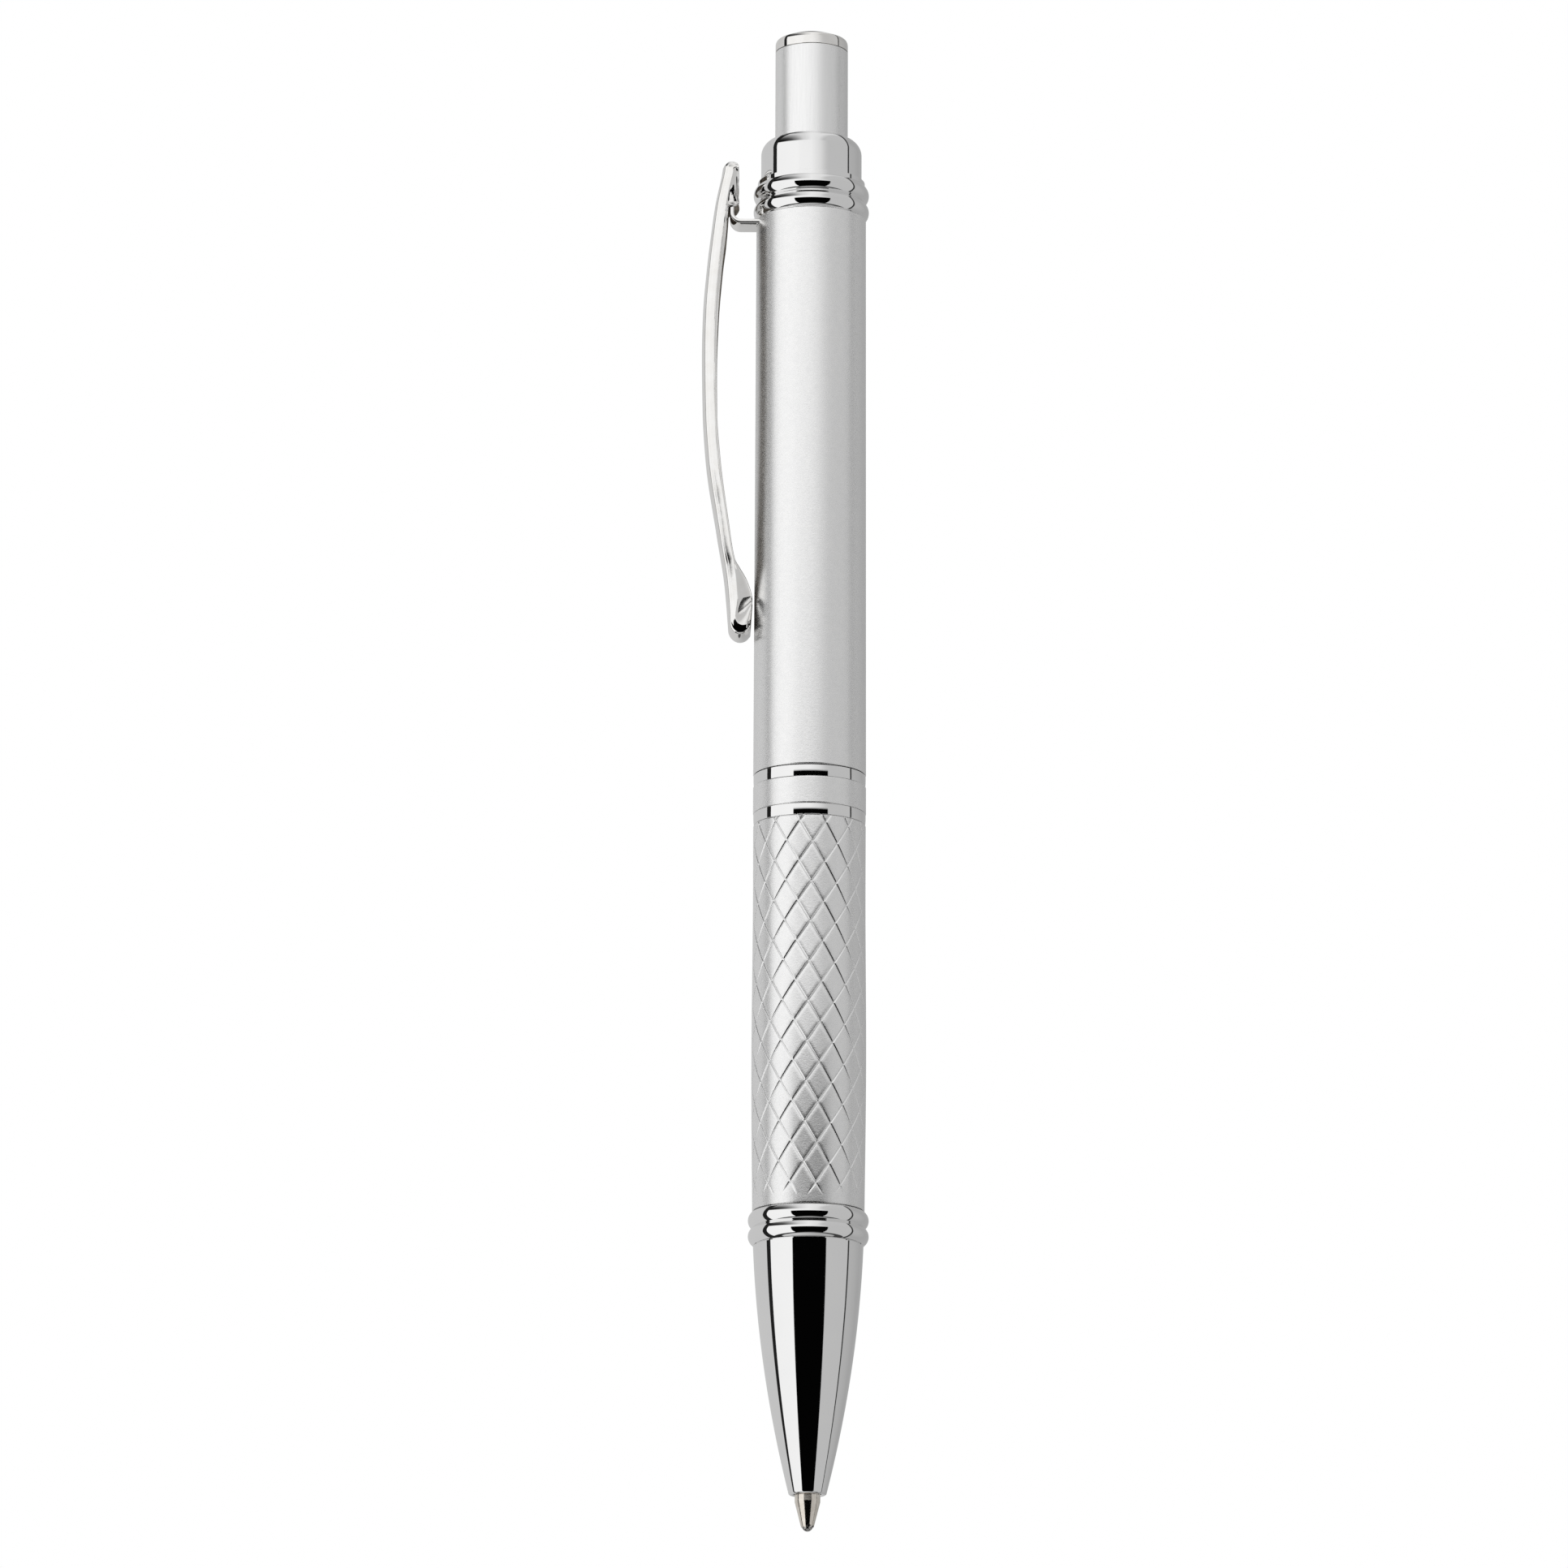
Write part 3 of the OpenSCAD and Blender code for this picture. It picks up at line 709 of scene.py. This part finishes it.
def joint_coupler(material):
    """A polished core that shows below and above the satin band, each time as a ring that curves in."""
    low, high = top("grip_tube"), bottom("barrel_tube") - 0.05
    band_low, band_high = bottom("joint_band"), top("joint_band")
    r = radius("joint_band") - COUPLER_INSET
    steps = 14

    def ring(z0, z1):
        """The outline of one ring from z0 up to z1, drawn in towards its lower edge."""
        side = []
        for k in range(steps + 1):
            t = SIDE_SHARE * (1 - k / steps)
            side.append((r - COUPLER_CURVE * t ** 4, z1 - 0.05 - (z1 - 0.05 - z0) * t))
        return [(r - 0.16, z0), (r - 0.1, z0)] + side + [(r - 0.05, z1)]

    outline = [(4.0, low)] + ring(low + 0.01, band_low - 0.01)
    outline += [(BAND_SEAT_R, band_low - 0.01), (BAND_SEAT_R, band_high + 0.01)]
    outline += ring(band_high + 0.01, high)
    outline += [(SLEEVE_R, high), (SLEEVE_R, high + 1), (COUPLER_BORE_R, high + 1), (COUPLER_BORE_R, low)]
    made = lathe("joint_coupler_core", outline)
    finished(made, material, "front", "polished_chrome", "joint_coupler")


def joint_band(material):
    low, high = bottom("joint_band"), top("joint_band")
    r = radius("joint_band")
    bore_r = BAND_SEAT_R + 0.01
    corners = [(bore_r, low, 0), (r, low, 0.06), (r, high, 0.06), (bore_r, high, 0)]
    made = lathe("joint_band_ring", rounded(corners))
    finished(made, material, "front", "satin_silver", "joint_band")


# ---------------------------------------------------------------- rear section

BARREL_SEGMENTS = 256
BARREL_BORE_R = 4.35
BARREL_TOP_R = 5.04
STRAP_HALF = 1.55
SLOT_Z = 120.9
SHOULDER_R = 1.4
COLLAR_BORE_R = 3.4


def barrel_tube(material):
    """A slightly tapered tube with a slot in its upper edge, where the clip's strap comes out."""
    low, high = bottom("barrel_tube"), top("barrel_tube")
    r_low = radius("barrel_tube")
    corners = [(BARREL_BORE_R, low, 0), (r_low, low, 0.08), (BARREL_TOP_R, SLOT_Z, 0),
               (BARREL_TOP_R, high, 0.05), (BARREL_BORE_R, high, 0), (BARREL_BORE_R, SLOT_Z, 0)]
    made = lathe("barrel_shell", rounded(corners), BARREL_SEGMENTS)
    for vertex in made.data.vertices:
        x, y, z = vertex.co / MM
        if x < 0 and abs(y) < STRAP_HALF + 0.1 and z > SLOT_Z:
            vertex.co.z = SLOT_Z * MM
    made.data.set_sharp_from_angle(angle=math.radians(SHARP_DEG))
    finished(made, material, "barrel", "satin_silver", "barrel_tube")


def clip_ring(material):
    low, high = top("barrel_tube") + 0.01, top("clip_ring")
    outline = beaded_outline(low, high, RING_SEAT_R, radius("clip_ring"), TOP_BEAD_Z, CLIP_RING_BORE_R)
    made = lathe("clip_ring_beads", outline)
    finished(made, material, "barrel", "polished_chrome", "clip_ring")


def collar(material):
    low, high = top("clip_ring") + 0.01, top("collar")
    r = radius("collar")
    groove_r = r - SEAM_DEPTH
    corners = [(COLLAR_BORE_R, low, 0), (groove_r, low, 0), (groove_r, low + SEAM, 0),
               (r, low + SEAM, 0), (r, high, SHOULDER_R), (COLLAR_BORE_R, high, 0)]
    made = lathe("collar_cap", rounded(corners, 14))
    finished(made, material, "barrel", "polished_chrome", "collar")


# ---------------------------------------------------------------- push button

BUTTON_R = 3.35
BUTTON_BORE_R = 2.85
BUTTON_FOOT_R = 3.75
BUTTON_FOOT_H = 1
CAP_RIM = 0.94
CAP_BLEND = 0.32


def button_tube(material):
    """A thin sleeve with a foot that keeps it under the collar."""
    low, high = bottom("button_tube"), top("button_tube")
    foot_top = low + BUTTON_FOOT_H
    corners = [(BUTTON_BORE_R, low, 0), (BUTTON_FOOT_R, low, 0.1), (BUTTON_FOOT_R, foot_top, 0.1),
               (BUTTON_R, foot_top, 0), (BUTTON_R, high, 0.04), (BUTTON_BORE_R, high, 0)]
    made = lathe("button_sleeve", rounded(corners))
    finished(made, material, "button", "satin_silver", "button_tube")


def button_cap(material):
    """A short polished rim under a flat dome."""
    low = top("button_tube") + 0.01
    apex = top("button_cap")
    r = radius("button_cap")
    groove_r = r - SEAM_DEPTH
    rise = apex - low - CAP_RIM
    dome_r = (r * r + rise * rise) / (2 * rise)
    spread = math.asin((r - CAP_BLEND) / dome_r)
    outline = [(0, low), (groove_r, low), (groove_r, low + SEAM), (r, low + SEAM), (r, low + CAP_RIM - 0.31)]
    edge = Vector((r, low + CAP_RIM - 0.3))
    rim_top = Vector((dome_r * math.sin(spread), apex - dome_r + dome_r * math.cos(spread)))
    for k in range(7):
        t = k / 6
        corner = Vector((r, rim_top.y + 0.04))
        outline.append(tuple(edge * (1 - t) ** 2 + corner * 2 * t * (1 - t) + rim_top * t ** 2))
    steps = 16
    for k in range(1, steps + 1):
        a = spread * (1 - k / steps)
        outline.append((dome_r * math.sin(a), apex - dome_r + dome_r * math.cos(a)))
    made = lathe("button_dome", outline)
    finished(made, material, "button", "cap_chrome", "button_cap")


# ---------------------------------------------------------------- writing tip

TIP_R = 1.14
TIP_CONE_Z = 2.62
TIP_SEGMENTS = 96
BALL_SEGMENTS = 64


def refill_tip(material):
    """Cylinder, rounded shoulder and cone, with a thin rim turned in round the ball."""
    high = top("refill_tip")
    corners = [(0, 0.5, 0), (0.3, 0.5, 0), (0.49, 0.36, 0), (0.55, 0.36, 0.02), (0.62, 0.58, 0.08),
               (TIP_R, TIP_CONE_Z, 0.35), (TIP_R, high, 0), (0, high, 0)]
    made = lathe("refill_tip_cone", rounded(corners, 8), TIP_SEGMENTS)
    finished(made, material, "refill", "nickel_silver", "refill_tip")


def writing_ball(material):
    r = radius("writing_ball")
    steps = 32
    angles = [math.pi * k / steps for k in range(steps + 1)]
    outline = [(r * math.sin(a), r - r * math.cos(a)) for a in angles]
    made = lathe("writing_ball_round", outline, BALL_SEGMENTS)
    finished(made, material, "ball", "carbide", "writing_ball")


# ---------------------------------------------------------------- pocket clip

CLIP_HALF = 2.1
CLIP_SHEET = 0.42
# the clip's side view, as (height, distance from the axis); the arcs of toe and head join the two curves
CLIP_OUTER = [(84.7, 7.62), (87.0, 7.84), (91.6, 8.57), (98.5, 9.6), (103.1, 9.9), (109.0, 10.0),
              (112.4, 9.93), (117.1, 9.57), (120.5, 9.18), (122.9, 8.86), (125.7, 8.28)]
CLIP_INNER = [(85.3, 5.26), (85.9, 5.38), (87.1, 5.82), (88.0, 6.35), (88.9, 6.86), (92.5, 7.45),
              (98.5, 8.24), (103.1, 8.57), (107.8, 8.62), (112.4, 8.48), (117.1, 8.12), (119.5, 7.84),
              (121.7, 7.66), (122.5, 7.6), (122.56, 6.92), (123.0, 6.62), (123.8, 6.72), (124.9, 6.68),
              (125.7, 6.7)]
TOE = Vector((6.45, 82.7))
TOE_R = 1.02
HEAD = Vector((7.45, 126.17))
HEAD_R = 0.77
LUG_Z = (122.5, 124.6)
# the heights of the cross-sections from the lugs up to the head
LUG_STATIONS = [122.45, 122.5, 122.52, 122.56, 122.62, 122.75, 122.9, 123.1, 123.4, 123.7, 124.0, 124.4,
                124.8, 125.2, 125.7]
# where the toe's fan of cross-sections ends and the level ones begin
LEVEL_Z = 85.5


def curve(knots, z):
    """The value at height z of a smooth curve through the knots (z, value), which doesn't overshoot them."""
    z = min(max(z, knots[0][0]), knots[-1][0])
    k = 0
    while k < len(knots) - 2 and z > knots[k + 1][0]:
        k += 1
    slopes = [(b[1] - a[1]) / (b[0] - a[0]) for a, b in zip(knots, knots[1:])]

    def tangent(i):
        if i in (0, len(knots) - 1):
            return slopes[min(i, len(slopes) - 1)]
        before, after = slopes[i - 1], slopes[i]
        return 0 if before * after <= 0 else 2 * before * after / (before + after)

    (z0, v0), (z1, v1) = knots[k], knots[k + 1]
    t = (z - z0) / (z1 - z0)
    t2, t3 = t * t, t * t * t
    span = z1 - z0
    return ((2 * t3 - 3 * t2 + 1) * v0 + (t3 - 2 * t2 + t) * span * tangent(k)
            + (3 * t2 - 2 * t3) * v1 + (t3 - t2) * span * tangent(k + 1))


def clip_stations():
    """Pairs of side-view points (flange edge, outer face), from the toe up the clip and over the head."""
    stations = []
    toe_start = Vector((CLIP_OUTER[0][1], CLIP_OUTER[0][0]))
    flange_start = Vector((CLIP_INNER[0][1], CLIP_INNER[0][0]))
    toe_end = TOE + Vector((-TOE_R, 0.15))
    steps = 26
    for k in range(steps + 1):
        t = k / steps
        a = math.radians(8 + 172 * t)
        outer = TOE + TOE_R * Vector((-math.cos(a), -math.sin(a)))
        flange = toe_end.lerp(flange_start, t ** 0.8)
        stations.append((flange, outer))
    for k in range(1, 5):
        t = k / 4
        outer = stations[steps][1].lerp(toe_start, t)
        stations.append((Vector((curve(CLIP_INNER, 85.3 + 0.2 * t), 85.3 + 0.2 * t)), outer))
    heights = [LEVEL_Z + 36.8 * k / 110 for k in range(111)] + LUG_STATIONS
    for z in heights:
        low_share = max(0, 1 - (z - LEVEL_Z) / 3)
        outer_z = z - 0.8 * low_share
        stations.append((Vector((curve(CLIP_INNER, z), z)), Vector((curve(CLIP_OUTER, outer_z), outer_z))))
    flange_end = stations[-1][0]
    head_end = HEAD + Vector((-HEAD_R, 0))
    for k in range(1, 23):
        t = k / 22
        a = math.radians(12 + 166 * t)
        outer = HEAD + HEAD_R * Vector((math.cos(a), math.sin(a)))
        stations.append((flange_end.lerp(head_end, t), outer))
    return stations


def clip_section(depth, z):
    """Half of the channel's cross-section, as (distance from the flange edge, y): outside, then inside."""
    share = min(1, depth / 1.3)
    sheet = CLIP_SHEET * (0.35 + 0.65 * share)
    crown = 0.2 * share
    corner = 0.34 * share
    strip = min(0.52, depth * 0.45)
    crease = max(0.02, depth - crown - corner - strip)
    into_lug = min(1, max(0, (z - LUG_Z[0]) / 0.4)) * min(1, max(0, (LUG_Z[1] - z) / 1.2))
    edge_y = CLIP_HALF - 0.36 * crease - 0.45 * into_lug * share
    strip_y = CLIP_HALF - 0.2 * share
    rim = sheet / 2
    outside = []
    for k in range(7):
        a = math.pi * (1 - k / 12)
        outside.append((rim * share * (1 + math.cos(a)), edge_y - rim + rim * math.sin(a)))
    for t in (0.4, 0.75):
        outside.append((rim * share + (crease - rim * share) * t, edge_y + (CLIP_HALF - edge_y) * t))
    hold = min(0.04, crease * 0.3)
    outside.append((crease - hold, CLIP_HALF - 0.02))
    outside.append((crease + hold, CLIP_HALF - 0.008))
    start = depth - crown - corner
    outside.append((start - hold, strip_y + 0.01))
    for k in range(9):
        a = math.pi / 2 * k / 8
        outside.append((start + corner * math.sin(a), strip_y - corner + corner * math.cos(a)))
    flat = strip_y - corner
    for k in range(1, 7):
        y = flat * (1 - k / 6)
        outside.append((depth - crown + crown * (1 - (y / flat) ** 2), y))
    roof = max(rim, depth - crown - sheet)
    inner_y = min(edge_y, strip_y) - sheet
    inside = [(roof, 0), (roof, inner_y * 0.5), (roof - 0.02, inner_y * 0.85)]
    inside += [(max(rim, roof - 0.2), inner_y), (rim * 0.8 * share, edge_y - sheet + 0.01)]
    return outside, inside


def pocket_clip(material, inside_shade_material):
    """A pressed sheet channel that bows out from the barrel and comes back to it in a closed rounded toe.
    The faces inside the channel have the second material, which is painted shade."""
    points, faces, rings = [], [], []
    for flange, outer in clip_stations():
        along = outer - flange
        depth = max(0.12, along.length)
        along.normalize()
        outside, inside = clip_section(depth, flange.y)
        outside_faces = 2 * len(outside)
        section = outside + [(s, -y) for s, y in reversed(outside[:-1])]
        section += [(s, -y) for s, y in reversed(inside)] + inside[1:]
        rings.append(range(len(points), len(points) + len(section)))
        for s, y in section:
            place = flange + along * s
            points.append((-place.x, y, place.y))
    for ring, other in zip(rings, rings[1:]):
        for k in range(len(ring)):
            n = (k + 1) % len(ring)
            faces.append((ring[k], ring[n], other[n], other[k]))
    for ring in (rings[0], rings[-1]):
        middle = len(points)
        places = [Vector(points[v]) for v in ring]
        points.append(tuple(sum(places, Vector()) / len(places)))
        for k in range(len(ring)):
            faces.append((middle, ring[k], ring[(k + 1) % len(ring)]))
    made = mesh_object("pocket_clip_channel", points, faces, 40)
    face_outwards(made)
    finished(made, material, "clip", "clip_chrome", "pocket_clip")
    made.data.materials.append(inside_shade_material)
    around = len(rings[0])
    end_caps = around * (len(rings) - 1)
    # the faces inside the channel get the dark material, painted shade in the hollow
    for face in made.data.polygons:
        if face.index < end_caps and face.index % around >= outside_faces:
            face.material_index = 1


def face_outwards(made):
    """Turns every face of a closed mesh to the outside."""
    work = bmesh.new()
    work.from_mesh(made.data)
    bmesh.ops.recalc_face_normals(work, faces=work.faces[:])
    work.to_mesh(made.data)
    work.free()


BRACKET_OUT = 7.5
BRACKET_T = 0.4
BRACKET_BEND = 1.0
BRACKET_TOP = 124.3


def clip_bracket(material):
    """A flat strap that comes out of the barrel's slot and bends up into the clip's channel."""
    z = bottom("clip_bracket") + BRACKET_T / 2
    mid_bend = BRACKET_BEND - BRACKET_T / 2
    path = [((-4.5, z), (0, 1))]
    bend_x = -BRACKET_OUT + BRACKET_BEND
    steps = 10
    centre_z = z + mid_bend
    for k in range(steps + 1):
        a = math.pi / 2 * k / steps
        normal = (math.sin(a), math.cos(a))
        path.append(((bend_x - mid_bend * normal[0], centre_z - mid_bend * normal[1]), normal))
    path.append(((-BRACKET_OUT + BRACKET_T / 2, BRACKET_TOP), (1, 0)))
    half_t, half_w, edge = BRACKET_T / 2, STRAP_HALF, 0.1
    section = []
    for su, sv in ((1, 1), (-1, 1), (-1, -1), (1, -1)):
        for k in range(4):
            turn = k / 3 * math.pi / 2
            du, dv = (math.cos(turn), math.sin(turn)) if su == sv else (math.sin(turn), math.cos(turn))
            section.append((su * (half_t - edge + edge * du), sv * (half_w - edge + edge * dv)))
    points, faces, rings = [], [], []
    for (x, h), (nx, nz) in path:
        rings.append(range(len(points), len(points) + len(section)))
        points += [(x + nx * u, v, h + nz * u) for u, v in section]
    for ring, other in zip(rings, rings[1:]):
        for k in range(len(ring)):
            n = (k + 1) % len(ring)
            faces.append((ring[k], ring[n], other[n], other[k]))
    faces.append(list(rings[0])[::-1])
    faces.append(list(rings[-1]))
    made = mesh_object("clip_bracket_strap", points, faces, 40)
    face_outwards(made)
    finished(made, material, "barrel", "clip_chrome", "clip_bracket")


# ---------------------------------------------------------------- hidden works


def dress(node, material):
    """Gives a CAD node that stays as it is its procedural material."""
    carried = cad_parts[node]
    carried.data.materials.clear()
    carried.data.materials.append(material)


make_camera()
make_world()
make_floor()

satin = satin_silver()
chrome = polished_chrome()
clip_plate = clip_chrome()
brass = turned_brass()
steel = drawn_steel()
plastic = white_plastic()

nose_cone(chrome)
nose_ring(chrome)
grip_tube(satin)
joint_coupler(chrome)
joint_band(satin)
barrel_tube(satin)
clip_ring(chrome)
collar(chrome)
button_tube(brushed_silver())
button_cap(cap_chrome())
refill_tip(nickel_silver())
writing_ball(carbide())
pocket_clip(clip_plate, clip_inside_painted_shade())
clip_bracket(clip_plate)

for node in ("refill_neck", "barrel_bush"):
    dress(node, brass)
for node in ("refill_tube", "return_spring"):
    dress(node, steel)
for node in ("refill_plug", "plunger", "rotor", "cam_guide"):
    dress(node, plastic)
dress("ink", ink_paste())
